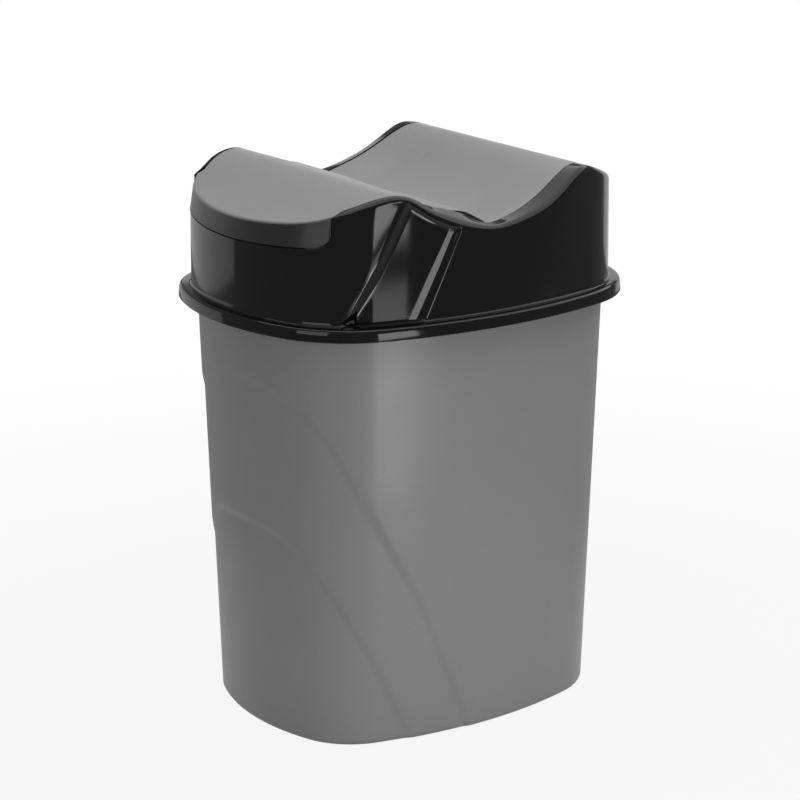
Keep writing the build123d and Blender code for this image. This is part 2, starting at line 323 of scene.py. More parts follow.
def tub_column(s):
    """Offsets and heights of the tub at one place, from under the foot to the floor."""
    def wall(z):
        return DRAFT * z / RIM_HEIGHT - relief(s, z)

    def inside(z):
        return wall(z) - TUB_WALL

    ring = -2 * RELIEF_STEP
    column = [(ring - 9.4, 1.6), (ring - 9.0, 1.5), (ring - 8.6, 0.4), (ring - 8.2, 0.0)]
    column += [(wall(0) - FOOT_ROUND, 0.0)]
    for step in range(1, 7):
        turn = math.radians(15 * step)
        inward = FOOT_ROUND * (1 - math.sin(turn))
        column.append((wall(FOOT_ROUND) - inward, FOOT_ROUND * (1 - math.cos(turn))))
    column += [(wall(z), z) for z in spaced(WALL_START, NECK, ROW_OUTSIDE)]
    column += [(wall(NECK), 264.4), (wall(NECK) + 0.9, 265.4), (FLANGE_LIP - 0.5, 265.5)]
    column += [(FLANGE_LIP, 265.0), (FLANGE_LIP, 264.1), (FLANGE, 264.1), (FLANGE, 266.9)]
    column += [(FLANGE - 0.2, 267.3), (FLANGE - 0.7, RIM_HEIGHT), (inside(267) + 1.2, RIM_HEIGHT)]
    column += [(inside(267) + 0.35, 267.1), (inside(266), 266.3)]
    column += [(inside(z), z) for z in spaced(NECK, FLOOR_ROUND_TOP, ROW_INSIDE)]
    column += [(inside(FLOOR_ROUND_TOP), FLOOR_ROUND_TOP), (inside(6) - 0.6, 5.6), (inside(5) - 2.0, 4.3)]
    column += [(inside(5) - 4.0, FLOOR_TOP)]
    return column


print("the tub's profile has", len(tub_column(0)), "points")


# %% Grid of the tub
def build_tub():
    right = spaced(0, QUARTER, 1.25) + spaced(QUARTER, 2 * QUARTER, 3.5)
    stops = right + [2 * QUARTER] + [LOOP - s for s in reversed(right[1:])]
    columns = [[at(s, d, z) for d, z in tub_column(s)] for s in stops]
    rows = list(zip(*columns))
    width, height = len(stops), len(rows)
    points = [p for row in rows for p in row]
    faces = []
    for i in range(height - 1):
        for j in range(width):
            k = (j + 1) % width
            faces.append((i * width + j, i * width + k, (i + 1) * width + k, (i + 1) * width + j))
    faces.append(tuple(reversed(range(width))))
    faces.append(tuple((height - 1) * width + j for j in range(width)))
    return make_object("tub", points, faces)


tub = build_tub()
print("tub has", len(tub.data.polygons), "faces")

# %% [markdown]
# The lid frame
#
# The black frame is a rim band, a tall wall, and a rounded ledge that follows a wave:
# high at the front, low beside the pivots, highest at the back. On the slopes the ledge
# falls outwards, so the wall's top edge and the flap's side edge each get their own
# small change to the wave. The frame's grid has columns that climb the wall, and they
# lean where the slanted channel runs, so the channel's edges lie along grid lines and
# stay crisp. The front cells above the skirt's seat are left out. Cutting these shapes
# with booleans would leave shading seams on the gloss.

# %% Wave of the lid
# all three lines are heights over y, from the front of the bin to its back
wave = SmoothLine([
    (-132, 324.0), (-104, 332.8), (-67, 344.6), (-34, 333.4), (2, 320.4),
    (33, 329.2), (52, 340.7), (66, 347.3), (80, 344.8), (98, 338.2), (132, 326.5),
])
# the wall ends this much below the wave
wall_drop = SmoothLine([
    (-78, 0), (-66, 0), (-59, 0.7), (-52, 3.0), (-44, 4.8), (-36, 4.8), (-25, 3.6), (-16, 1.9), (-6, 0.1),
    (3, -0.8), (13, -0.9), (22, -0.2), (29, 0.8), (37, 2.1), (45, 2.7), (52, 2.6), (59, 1.8), (66, 0.7),
    (75, 0), (90, 0),
])
# the flap's side edge rises this much above the wave, which makes its valley sharper
edge_rise = SmoothLine([
    (-70, 0), (-62, 0), (-56, -0.6), (-50, -1.6), (-44, -1.8), (-39, -1.0), (-33, 0.4), (-27, 1.5),
    (-20, 2.3), (-14, 2.0), (-8, 1.2), (-1, 0.5), (4, 0.9), (10, 1.8), (16, 2.3), (23, 2.2), (31, 1.8),
    (40, 1.2), (48, 0.9), (56, 0.4), (64, 0), (72, 0),
])


def wall_top(y):
    return wave(y) - wall_drop(y)


def edge_top(y):
    return wave(y) + edge_rise(y)


print("the wave is", round(wave(66) - wave(2), 1), "mm deep")

# %% Wall and ledge of the frame
WALL_OUT, WALL_LEAN, LEAN_FROM, FRAME_WALL = 11.8, 1.2 / 90.5, 269.5, 2.0
WALL_FOOT, SWELL, SWELL_SOFT = 271.0, 3.0, 24.0
SWELL_RISE, SWELL_FALL = (8.0, 36.0), (56.0, 84.0)
# heights at which the leaning wall's offset is taken for each of these parts
SEAT_LEVEL, FOLD_LEVEL, LEDGE_LEVEL, PANEL_LEVEL, DECK_LEVEL = 318, 325, 335, 338, 345
GAP = 1.1
FRONT_LEDGE, BACK_LEDGE, LEDGE_ROUND = 5.0 - GAP, 10.3 - GAP, 3.4
OPENING_HALF, OPENING_BACK = 90.0 + GAP, 77.5 + GAP


def wall_out(z):
    """Offset of the frame's outer wall, which leans in as it rises."""
    return WALL_OUT - WALL_LEAN * (z - LEAN_FROM)


def swell(y):
    """The side walls bow out this much more at the ledge, behind the pivots."""
    return SWELL * soft_step(y, *SWELL_RISE, SWELL_SOFT) * (1 - soft_step(y, *SWELL_FALL, SWELL_SOFT))


DECK_START = s_at_y(OPENING_BACK, wall_out(DECK_LEVEL) - BACK_LEDGE)
print("back deck starts at", round(DECK_START, 1), "mm along the outline")

# %% Seat of the flap's skirt
SEAT_HALF, SEAT_CORNER = 76.0 + GAP, 8.5 + GAP
SEAT_CORNER_START = SEAT_HALF - SEAT_CORNER
SEAT_END = s_at_x(SEAT_HALF, wall_out(FOLD_LEVEL))
SEAT_MIDDLE, LINE_RISE, LINE_RISE_AT = 312.2, 2.6, 67


def curved_line(x, middle, half, corner, corner_share):
    """Height of a line that bows up from the middle and rises to a round corner at half."""
    x = abs(x)
    line = middle + LINE_RISE * (x / LINE_RISE_AT) ** 2
    if x > half - corner:
        reach = min(1.0, (x - (half - corner)) / corner)
        line += corner * (1 - math.sqrt(1 - reach**2)) * corner_share
    return line


def seat_height(x):
    """Top of the front wall, where the flap's skirt sits."""
    return curved_line(x, SEAT_MIDDLE, SEAT_HALF, SEAT_CORNER, 0.62)


print("skirt seat is", round(seat_height(0), 1), "mm high and ends", round(SEAT_END, 1), "mm along")

# %% [markdown]
# The slanted channel
#
# Each side of the frame has a shallow channel that leans back, 3 mm deep, with a narrow
# front flank and a wider back flank that tapers upwards. The back flank starts gently
# and then turns steep, which gives it two light lines. The lines were measured on the
# photo as distances along the outline at the foot and at the ledge.

# %% Channel lines
# distance along the outline: at the foot, at the ledge
channel_lines = [
    (SEAT_END, SEAT_END), (77.8, 112.0), (84.0, 117.0), (114.6, 141.5), (123.6, 147.0), (165.0, 165.0),
]
FRONT_OUT, FRONT_IN, BACK_IN, BACK_OUT = [foot for foot, ledge in channel_lines[1:5]]
BACK_BEND = BACK_IN + 5.5


def lean(foot):
    """Where a column that starts at this distance at the foot reaches the ledge."""
    if foot <= channel_lines[0][0] or foot >= channel_lines[-1][0]:
        return foot
    for (f0, h0), (f1, h1) in zip(channel_lines, channel_lines[1:]):
        if foot <= f1:
            return h0 + (h1 - h0) * (foot - f0) / (f1 - f0)
    return foot


print("the channel leans back by", round(lean(BACK_IN) - BACK_IN, 1), "mm")

# %% Channel depth
CHANNEL_DEPTH, GENTLE_SHARE, STEEP_SHARE = 3.1, 0.26, 0.74
CHANNEL_HEAD, CHANNEL_FULL = 1.5, 5.6
FRONT_SOFT, BEND_SOFT, BACK_SOFT, HEAD_SOFT = 3.0, 1.6, 2.0, 2.4


def channel_depth(foot, below_ledge):
    """Depth of the channel on a column, this far below the top of the ledge."""
    front = soft_step(foot, FRONT_OUT, FRONT_IN, FRONT_SOFT)
    back = 1 - GENTLE_SHARE * soft_step(foot, BACK_IN, BACK_BEND, BEND_SOFT)
    back -= STEEP_SHARE * soft_step(foot, BACK_BEND, BACK_OUT, BACK_SOFT)
    top = soft_step(below_ledge, CHANNEL_HEAD, CHANNEL_FULL, HEAD_SOFT)
    return CHANNEL_DEPTH * front * back * top


print("the channel is", round(channel_depth(100, 30), 2), "mm deep in its middle")


# %% Columns of the frame
LEAST_LEDGE = 0.05


def frame_stops():
    """Distances along the right half of the outline, at the foot of the wall."""
    stops = spaced(0, s_at_x(SEAT_CORNER_START, WALL_OUT), 3.2)
    for step in range(7):
        x = SEAT_CORNER_START + SEAT_CORNER * math.sin(math.radians(90 * step / 7))
        stops.append(s_at_x(x, wall_out(SEAT_LEVEL)))
    stops.append(SEAT_END)
    stops += spaced(SEAT_END + 0.6, FRONT_OUT - 2, 1.4)
    stops += spaced(FRONT_OUT - 2, FRONT_IN + 2, 0.55)
    stops += spaced(FRONT_IN + 2, BACK_IN - 3, 1.8)
    stops += spaced(BACK_IN - 3, BACK_OUT + 3, 0.6)
    stops += spaced(BACK_OUT + 3, QUARTER + 20, 2.4)
    stops += spaced(QUARTER + 20, DECK_START, 2.4) + spaced(DECK_START, 2 * QUARTER, 3.0)
    return stops


def ledge_inner(s):
    """Inner edge of the ledge: the edge of the flap's opening."""
    if s > 2 * QUARTER:
        x, y = ledge_inner(LOOP - s)
        return -x, y
    out = wall_out(LEDGE_LEVEL)
    if s > DECK_START:
        corner = at(DECK_START, out - BACK_LEDGE, 0)[0]
        return corner * (2 * QUARTER - s) / (2 * QUARTER - DECK_START), OPENING_BACK
    x, y, nx, ny = outline(s)
    wall_x = x + out * nx
    width = FRONT_LEDGE if y < 0 else BACK_LEDGE
    if wall_x - nx * width > OPENING_HALF:
        width = (wall_x - OPENING_HALF) / nx
    if y < 0:
        width = min(width, max(LEAST_LEDGE, (wall_x - SEAT_HALF) / max(nx, 0.01)))
    return x + (out - width) * nx, y + (out - width) * ny


print("half the frame has", len(frame_stops()), "columns")

# %% Rows of the frame's band and wall
# offset and height of the outer and the inner skin, from the lower lip to the wall's foot
BAND = [
    ((19.4, 262.0), (17.0, 262.0)), ((19.65, 262.3), (17.0, 262.6)), ((19.6, 263.4), (17.0, 263.4)),
    ((19.4, 265.8), (17.0, 265.6)), ((19.2, 267.9), (17.0, 266.6)), ((18.9, 268.7), (16.9, 267.1)),
    ((18.3, 269.3), (16.6, 267.4)), ((17.3, 269.6), (16.0, 267.5)), ((15.4, 269.65), (15.0, 267.5)),
    ((13.6, 269.7), (13.4, 267.5)), ((12.7, 269.8), (11.6, 267.6)), ((12.2, 270.2), (10.4, 268.2)),
]
WALL_ROWS_LOW, WALL_ROWS_HIGH, ROUND_STEPS, LEDGE_ROWS = 30, 22, 7, 5
SEAT_FADE, MIDDLE_SHARE, CROWDING = 30, 0.55, 0.85
ROUND_SHARE, LEAST_WALL = 0.9, 0.2


def wall_heights(base, x, top):
    """Heights of the wall's rows on a column; the middle one follows the skirt's seat."""
    if base <= SEAT_END + TINY:
        middle = seat_height(min(x, SEAT_HALF))
    else:
        joint = seat_height(SEAT_HALF)
        fade = min(1.0, (base - SEAT_END) / SEAT_FADE)
        middle = joint + (WALL_FOOT + MIDDLE_SHARE * (top - WALL_FOOT) - joint) * fade
    low = [WALL_FOOT + (middle - WALL_FOOT) * i / WALL_ROWS_LOW for i in range(WALL_ROWS_LOW + 1)]
    climb = [(i / WALL_ROWS_HIGH) ** CROWDING for i in range(1, WALL_ROWS_HIGH + 1)]
    return low + [middle + (top - middle) * share for share in climb]


print("the wall has", WALL_ROWS_LOW + WALL_ROWS_HIGH + 1, "rows and the band", len(BAND))


# %% One column of the frame
def frame_column(foot):
    """Outer and inner points of one column of the lid frame."""
    mirrored = foot > 2 * QUARTER
    base = LOOP - foot if mirrored else foot
    head = LOOP - lean(base) if mirrored else lean(base)
    outer = [at(foot, offset, z) for (offset, z), _ in BAND]
    inner = [at(foot, offset, z) for _, (offset, z) in BAND]

    edge_x, edge_y = ledge_inner(head)
    swelling = swell(outline(head)[1])
    ledge_out = wall_out(LEDGE_LEVEL) + swelling
    wall_x, wall_y, _ = at(head, ledge_out, 0)
    width = math.hypot(edge_x - wall_x, edge_y - wall_y)
    rounding = min(LEDGE_ROUND, ROUND_SHARE * width)
    climb = edge_top(edge_y) - wall_top(edge_y)

    def ledge_height(y, inward):
        return wall_top(y) + climb * inward / width

    top = wall_top(wall_y) - rounding
    for z in wall_heights(base, abs(at(foot, WALL_OUT, 0)[0]), top):
        v = (z - WALL_FOOT) / max(1.0, top - WALL_FOOT)
        s = foot + (head - foot) * v
        out = wall_out(z) - channel_depth(base, top + rounding - z) + swelling * v
        outer.append(at(s, out, z))
        inner.append(at(s, out - FRAME_WALL, z))
    for step in range(1, ROUND_STEPS + 1):
        turn = math.radians(90 * step / ROUND_STEPS)
        inward = rounding * (1 - math.cos(turn))
        x, y, _ = at(head, ledge_out - inward, 0)
        z = ledge_height(y, inward) - rounding * (1 - math.sin(turn))
        outer.append((x, y, z))
        x, y, _ = at(head, ledge_out - FRAME_WALL - max(0, inward - FRAME_WALL), 0)
        inner.append((x, y, min(ledge_height(y, inward) - FRAME_WALL, z - LEAST_WALL)))
    start_x, start_y, _ = at(head, ledge_out - rounding, 0)
    for step in range(1, LEDGE_ROWS + 1):
        t = step / LEDGE_ROWS
        x, y = start_x + (edge_x - start_x) * t, start_y + (edge_y - start_y) * t
        z = ledge_height(y, rounding + (width - rounding) * t)
        outer.append((x, y, z))
        inner.append((x, y, z - FRAME_WALL))
    return outer, inner


print("a column of the frame has", len(frame_column(QUARTER)[0]), "points on each skin")


# %% Grid of the frame
def build_frame():
    right = frame_stops()
    stops = right + [2 * QUARTER] + [LOOP - s for s in reversed(right[1:])]
    columns = [frame_column(s) for s in stops]
    outer = list(zip(*[c[0] for c in columns]))
    inner = list(zip(*[c[1] for c in columns]))
    seat_row = len(BAND) + WALL_ROWS_LOW

    def keep(i, j):
        far_side = max(from_front(stops[j]), from_front(stops[(j + 1) % len(stops)]))
        return i < seat_row or far_side > SEAT_END + 1e-3

    return shell("lid_wall", outer, inner, around=True, keep=keep, bevel=0.35)


lid_wall = build_frame()
print("lid frame has", len(lid_wall.data.polygons), "faces")

# %% [markdown]
# Hidden parts of the frame
#
# Behind the skirt a short wall closes the front of the frame and gives the flap its
# stop. Under each ledge hangs a lug with a snap mouth, open at the bottom, that the
# flap's pin clicks into. They show only when the flap is tipped, so plain forms do.

# %% Stop wall
STOP_LOW, STOP_BELOW_WAVE, STOP_PAST_SEAT = 305.4, 2.3, 2
STOP_OUTSIDE, STOP_INSIDE = 1.95, 3.9


def build_stop_wall():
    half = SEAT_END + STOP_PAST_SEAT
    stops = [-half + 2 * half * i / 60 for i in range(61)]
    outer, inner = [], []
    for t in (0, 0.15, 0.3, 0.5, 0.7, 0.85, 1.0):
        outer_row, inner_row = [], []
        for s in stops:
            y = at(s, WALL_OUT - 3, 0)[1]
            z = STOP_LOW + (wave(y) - STOP_BELOW_WAVE - STOP_LOW) * t
            outer_row.append(at(s, wall_out(z) - STOP_OUTSIDE, z))
            inner_row.append(at(s, wall_out(z) - STOP_INSIDE, z))
        outer.append(outer_row)
        inner.append(inner_row)
    return shell("stop_wall", outer, inner, bevel=0.3)


stop_wall = build_stop_wall()
print("stop wall has", len(stop_wall.data.polygons), "faces")

# %% Bearing lugs
PIVOT_Y, PIVOT_Z, PIN_RADIUS, BORE_RADIUS = -18.0, 318.0, 3.2, 3.28
MOUTH_HALF, LUG_DROP, LUG_HALF = 2.6, 8.5, 8.0
LUG_INSIDE, LUG_OUTSIDE = 91.1, 95.1


def prism(name, outline_yz, x_low, x_high, bevel):
    """Plate with this side view, from x_low to x_high."""
    count = len(outline_yz)
    points = [(x_low, y, z) for y, z in outline_yz] + [(x_high, y, z) for y, z in outline_yz]
    faces = [(i, (i + 1) % count, (i + 1) % count + count, i + count) for i in range(count)]
    faces += [tuple(reversed(range(count))), tuple(range(count, 2 * count))]
    return make_object(name, points, faces, bevel)


def build_lug(name, side):
    start = math.asin(MOUTH_HALF / BORE_RADIUS)
    bore = []
    for step in range(25):
        turn = start + (2 * math.pi - 2 * start) * step / 24
        bore.append((PIVOT_Y + BORE_RADIUS * math.sin(turn), PIVOT_Z - BORE_RADIUS * math.cos(turn)))
    low, front, back = PIVOT_Z - LUG_DROP, PIVOT_Y - LUG_HALF, PIVOT_Y + LUG_HALF
    line = [(PIVOT_Y + MOUTH_HALF + 0.8, low), (back - 1.5, low), (back, low + 1.5)]
    line += [(y, wave(y) - 1.0) for y in (back, PIVOT_Y, front)]
    line += [(front, low + 1.5), (front + 1.5, low), (PIVOT_Y - MOUTH_HALF - 0.8, low)]
    line += [(PIVOT_Y - MOUTH_HALF, low + 1.2)] + list(reversed(bore))
    line += [(PIVOT_Y + MOUTH_HALF, low + 1.2)]
    x_low, x_high = sorted((side * LUG_INSIDE, side * LUG_OUTSIDE))
    return prism(name, line, x_low, x_high, 0.2)


lugs = [build_lug("bearing_lug_right", 1), build_lug("bearing_lug_left", -1)]
print(len(lugs), "lugs with bores of", 2 * BORE_RADIUS, "mm")

# %% [markdown]
# The flap
#
# The flap is one sheet that follows the wave, turns down into a skirt at the front, and
# carries a long low housing over each pin. The housings begin with a short ramp near
# the middle of the flap and run out to its side edges. The grid's rows run across the
# bin from the back edge to the front, over the fold and down the skirt. Its side edges
# turn down too, and over the housings that turned edge is taller, which closes their
# ends. Separate boxes for the housings would show a seam that one sheet doesn't have.

# %% Pivot housings
HOUSING_START, HOUSING_END = 12.0, 25.0
HOUSING_FRONT, HOUSING_SHOULDER, HOUSING_FOOT = (-46.0, 334.6), (-17.2, 330.4), (1.2, 319.8)
HOUSING_FROM, HOUSING_TO = -58, 6
HOUSING_SOFT, SHOULDER_SOFT, RAMP_SOFT = 0.8, 2.4, 2.4
EDGE_RISE_START, EDGE_RISE_END, EDGE_RISE_SOFT = 52.0, 86.0, 20.0


def blend_max(a, b, softness):
    """The larger of two heights, with the corner between them rounded."""
    gap = max(softness - abs(a - b), 0.0) / softness
    return max(a, b) + gap * gap * softness / 4


def blend_min(a, b, softness):
    return -blend_max(-a, -b, softness)


def housing_line(y):
    """Top line of the pivot housings, seen from the side."""
    (fy, fz), (sy, sz), (by, bz) = HOUSING_FRONT, HOUSING_SHOULDER, HOUSING_FOOT
    gentle = fz + (sz - fz) * (y - fy) / (sy - fy)
    steep = sz + (bz - sz) * (y - sy) / (by - sy)
    return blend_min(gentle, steep, SHOULDER_SOFT)


def flap_level(x, y):
    """Height of the panel without its housings."""
    share = soft_step(abs(x), EDGE_RISE_START, EDGE_RISE_END, EDGE_RISE_SOFT)
    return wave(y) + edge_rise(y) * share


def flap_top(x, y):
    level = flap_level(x, y)
    housed = HOUSING_FROM < y < HOUSING_TO
    raised = blend_max(level, housing_line(y), HOUSING_SOFT) if housed else level
    share = soft_step(abs(x), HOUSING_START, HOUSING_END, RAMP_SOFT)
    return level + (raised - level) * share


print("the housing stands", round(flap_top(60, PIVOT_Y) - flap_level(60, PIVOT_Y), 1), "mm high at the pin")

# %% Width and front of the flap
FLAP_WALL, FLAP_HALF, FLAP_BACK = 2.0, 90.0, 77.5
FLAP_EDGE_FRONT, FLAP_EDGE_BACK = 5.0, 10.3
SKIRT_HALF, SKIRT_CORNER, FOLD_ROUND = 76.0, 8.5, 2.6
SKIRT_MIDDLE, SKIRT_FOOT_OUT, SKIRT_FOLD_OUT = 313.2, 0.3, -1.5
EDGE_ROUND, EDGE_DROP = 0.9, 1.4


def flap_half_width(y):
    """Half width of the panel at y: straight in the middle, following the wall at its ends."""
    out = wall_out(PANEL_LEVEL) - (FLAP_EDGE_FRONT if y < 0 else FLAP_EDGE_BACK)
    return min(FLAP_HALF, at(s_at_y(y, out), out, 0)[0])


def front_at(x, offset):
    """Front line of the lid at x, grown by offset."""
    return at(s_at_x(abs(x), offset), offset, 0)[1]


def signed(value, x):
    """The value with the sign of x, and 0 on the middle line."""
    return math.copysign(value, x) if abs(x) > TINY else 0.0


TONGUE_START = first_reach(lambda y: flap_half_width(y) < SKIRT_HALF, -110.0, -80.0)
print("panel narrows to the skirt at y =", round(TONGUE_START, 1))


# %% Places across the flap
def flap_shares():
    """Places across the flap from -1 to 1, close together at the housings' ends and edges."""
    corner_start = SKIRT_HALF - SKIRT_CORNER
    half = spaced(0, 9.0, 3.0) + spaced(9.0, 24.0, 1.0) + spaced(24.0, corner_start, 2.9)
    half += [corner_start + SKIRT_CORNER * math.sin(math.radians(90 * k / 8)) for k in range(9)]
    half = [x / SKIRT_HALF for x in half]
    return [-x for x in reversed(half[1:])] + half


SHARES = flap_shares()
SKIRT_INNER_HALF = SKIRT_HALF - EDGE_ROUND
FOLD_OUT = wall_out(FOLD_LEVEL) + SKIRT_FOLD_OUT
FRONTS = [front_at(SKIRT_INNER_HALF * u, FOLD_OUT) for u in SHARES]
print(len(SHARES), "points across the flap")


# %% Rows of the flap's panel
ROW_FINE, ROW_COARSE = 0.9, 1.8


def panel_normal(x, y):
    dy = (flap_top(x, y + 0.1) - flap_top(x, y - 0.1)) / 0.2
    return Vector((0, -dy, 1)).normalized()


def panel_rows():
    """Points, normals and edge drop of the rows from the back edge to the tongue."""
    rows = []
    ys = spaced(FLAP_BACK, 10, ROW_COARSE) + spaced(10, -40, ROW_FINE)
    for y in ys + spaced(-40, TONGUE_START, ROW_COARSE):
        half = flap_half_width(y) - EDGE_ROUND
        points = [(half * u, y, flap_top(half * u, y)) for u in SHARES]
        raised = flap_top(half, y) - flap_level(half, y)
        rows.append((points, [panel_normal(p[0], y) for p in points], EDGE_DROP + raised))
    return rows


def tongue_rows():
    """Rows of the front part, which is as wide as the skirt and ends at the fold."""
    rows = []
    for t in spaced(0, 1, 1 / 16):
        points = []
        for u, front in zip(SHARES, FRONTS):
            y = TONGUE_START + (front + FOLD_ROUND - TONGUE_START) * t
            points.append((SKIRT_INNER_HALF * u, y, wave(y)))
        rows.append((points, [panel_normal(p[0], p[1]) for p in points], EDGE_DROP))
    return rows


print("the panel has", len(panel_rows()) + len(tongue_rows()), "rows")


# %% Rows of the fold and the skirt
def fold_rows():
    """Rows round the fold from the panel into the skirt."""
    rows = []
    for step in range(7):
        turn = math.radians(90 * step / 6)
        points, normals = [], []
        for u, front in zip(SHARES, FRONTS):
            x, y = SKIRT_INNER_HALF * u, front + FOLD_ROUND * (1 - math.sin(turn))
            slope = wave.slope(front + FOLD_ROUND)
            drop = FOLD_ROUND * (1 - math.cos(turn)) + math.sin(turn) * FOLD_ROUND * slope * 0.5
            points.append((x, y, wave(front + FOLD_ROUND) - drop))
            nx, ny = outline(s_at_x(abs(x), FOLD_OUT))[2:]
            tilt = Vector((signed(nx, x) * math.sin(turn), ny * math.sin(turn), math.cos(turn) + 0.05))
            normals.append(tilt.normalized())
        rows.append((points, normals, EDGE_DROP))
    return rows


def skirt_bottom(x):
    return curved_line(x, SKIRT_MIDDLE, SKIRT_HALF, SKIRT_CORNER, 0.75)


def skirt_rows(fold_points):
    """Rows from the fold down to the skirt's lower edge."""
    rows = []
    for t in [k / 9 for k in range(1, 10)]:
        points, normals = [], []
        for x, y, z in fold_points:
            bottom = skirt_bottom(x / SKIRT_INNER_HALF * SKIRT_HALF)
            height = z + (bottom - z) * t
            s = s_at_x(abs(x), FOLD_OUT)
            grow = wall_out(height) + SKIRT_FOLD_OUT + (SKIRT_FOOT_OUT - SKIRT_FOLD_OUT) * t
            px, py, _ = at(s, grow, 0)
            points.append((signed(px, x), py, height))
            nx, ny = outline(s)[2:]
            normals.append(Vector((signed(nx, x), ny, 0)))
        rows.append((points, normals, EDGE_DROP))
    return rows


print("the skirt is", round(wave(FRONTS[len(FRONTS) // 2]) - skirt_bottom(0), 1), "mm tall in the middle")


# %% Turned-down edges, and the flap
def edged_row(points, normals, edge_drop):
    """Outer and inner points of one row with its side edges turned down by edge_drop."""
    edges = []
    for side, end in ((-1, 0), (1, -1)):
        p, n = Vector(points[end]), Vector(normals[end])
        sideways = Vector((side, 0, 0))
        turned = []
        for angle in (22.5, 45, 67.5, 90):
            a = math.radians(angle)
            turned.append(p + sideways * EDGE_ROUND * math.sin(a) - n * EDGE_ROUND * (1 - math.cos(a)))
        turned.append(p + sideways * EDGE_ROUND - n * (EDGE_ROUND + edge_drop))
        inside = [p - n * FLAP_WALL - sideways * 0.6] * 4
        inside.append(p - sideways * 0.9 - n * (EDGE_ROUND + edge_drop))
        edges.append((turned, inside))
    (left_out, left_in), (right_out, right_in) = edges
    row_in = [Vector(p) - Vector(n) * FLAP_WALL for p, n in zip(points, normals)]
    row_out = left_out[::-1] + [Vector(p) for p in points] + right_out
    row_in = left_in[::-1] + row_in + right_in
    return [tuple(p) for p in row_out], [tuple(p) for p in row_in]


def build_flap():
    rows = panel_rows() + tongue_rows() + fold_rows()
    rows += skirt_rows(rows[-1][0])
    outer, inner = zip(*[edged_row(*row) for row in rows])
    return shell("flap_panel", outer, inner, bevel=0.5)


flap = build_flap()
print("flap has", len(flap.data.polygons), "faces")

# %% [markdown]
# Pins under the flap
#
# Each pin is a stub moulded on a boss, and a web ties the boss to the panel. They are
# turned shapes, so a ring of circles of chosen radii along X makes each one, with a
# small lead-in at the pin's tip.

# %% Pins, bosses and webs
# distance from the middle of the bin, and radius there, along the boss and the pin
PIN_PROFILE = [(76.0, 0.0), (76.0, 5.0), (76.4, 5.4), (89.6, 5.4), (90.0, 5.0), (90.0, 3.4)]
PIN_PROFILE += [(90.2, PIN_RADIUS), (96.2, PIN_RADIUS), (97.0, 2.4), (97.0, 0.0)]
PIN_TURNS, WEB_HALF, WEB_INSIDE, WEB_OUTSIDE = 40, 4, 78, 89.9


def build_pin(name, side):
    points, faces = [], []
    for x, radius in PIN_PROFILE:
        radius = max(radius, 0.01)
        for k in range(PIN_TURNS):
            a = 2 * math.pi * k / PIN_TURNS
            points.append((side * x, PIVOT_Y + radius * math.sin(a), PIVOT_Z + radius * math.cos(a)))
    for i in range(len(PIN_PROFILE) - 1):
        here, there = i * PIN_TURNS, (i + 1) * PIN_TURNS
        for k in range(PIN_TURNS):
            m = (k + 1) % PIN_TURNS
            quad = (here + k, here + m, there + m, there + k)
            faces.append(quad if side < 0 else tuple(reversed(quad)))
    return make_object(name, points, faces)


def build_web(name, side):
    front, back = PIVOT_Y - WEB_HALF, PIVOT_Y + WEB_HALF
    line = [(front, PIVOT_Z), (back, PIVOT_Z)] + [(y, wave(y) - 1) for y in (back, PIVOT_Y, front)]
    x_low, x_high = sorted((side * WEB_INSIDE, side * WEB_OUTSIDE))
    return prism(name, line, x_low, x_high, 0.3)


pins = [build_pin("pin_right", 1), build_pin("pin_left", -1)]
webs = [build_web("pin_web_right", 1), build_web("pin_web_left", -1)]
print("pins reach to x =", PIN_PROFILE[-1][0], "mm at each side")

# %% [markdown]
# Satin grey plastic
#
# The tub and flap are polypropylene with a fine spark-eroded mould finish: a grain of a
# few tenths of a millimetre that softens the highlights, a hint of cloudy flow in the
# colour, and slightly shinier patches where hands and cloths polish it. Noise at three
# scales gives these. A picture of plastic would do it too, but would repeat and blur.
# The flap's skirt is much darker than its top, so the flap's plastic gets painted shade:
# its colour is darkened on faces that don't look up when the flap is shut.


# %% Node helpers
def new_material(name):
    material = bpy.data.materials.new(name)
    material.use_nodes = True
    nodes, links = material.node_tree.nodes, material.node_tree.links
    return material, nodes, links, nodes["Principled BSDF"]


def noise(nodes, links, coords, scale, detail, roughness=0.5):
    """Noise from 0 to 1, mostly near 0.5; scale is in cells per metre."""
    texture = nodes.new("ShaderNodeTexNoise")
    texture.inputs["Scale"].default_value = scale
    texture.inputs["Detail"].default_value = detail
    texture.inputs["Roughness"].default_value = roughness
    links.new(coords, texture.inputs["Vector"])
    return texture.outputs["Fac"]


def mapped(nodes, links, value, low, high, from_low=0.3, from_high=0.7):
    """The value's range from_low to from_high stretched to low to high."""
    stretch = nodes.new("ShaderNodeMapRange")
    stretch.inputs["From Min"].default_value = from_low
    stretch.inputs["From Max"].default_value = from_high
    stretch.inputs["To Min"].default_value = low
    stretch.inputs["To Max"].default_value = high
    links.new(value, stretch.inputs["Value"])
    return stretch.outputs["Result"]


def mixed_grey(nodes, links, dark, light, share):
    """Colour between two greys."""
    tone = nodes.new("ShaderNodeMix")
    tone.data_type = "RGBA"
    tone.inputs["A"].default_value = (dark, dark, dark, 1)
    tone.inputs["B"].default_value = (light, light, light, 1)
    links.new(share, tone.inputs["Factor"])
    return tone.outputs["Result"]


def bump(nodes, links, height, strength, distance):
    """Bump from this height, at this depth in metres."""
    grain = nodes.new("ShaderNodeBump")
    grain.inputs["Strength"].default_value = strength
    grain.inputs["Distance"].default_value = distance
    links.new(height, grain.inputs["Height"])
    return grain


print("node helpers ready")

# %% Satin plastic
CLOUDS, SPECKS, WIPES, GRAIN = 9.0, 900.0, 22.0, 2600.0
SPECK_SHARE, CLOUD_SHARE = 0.35, 0.65


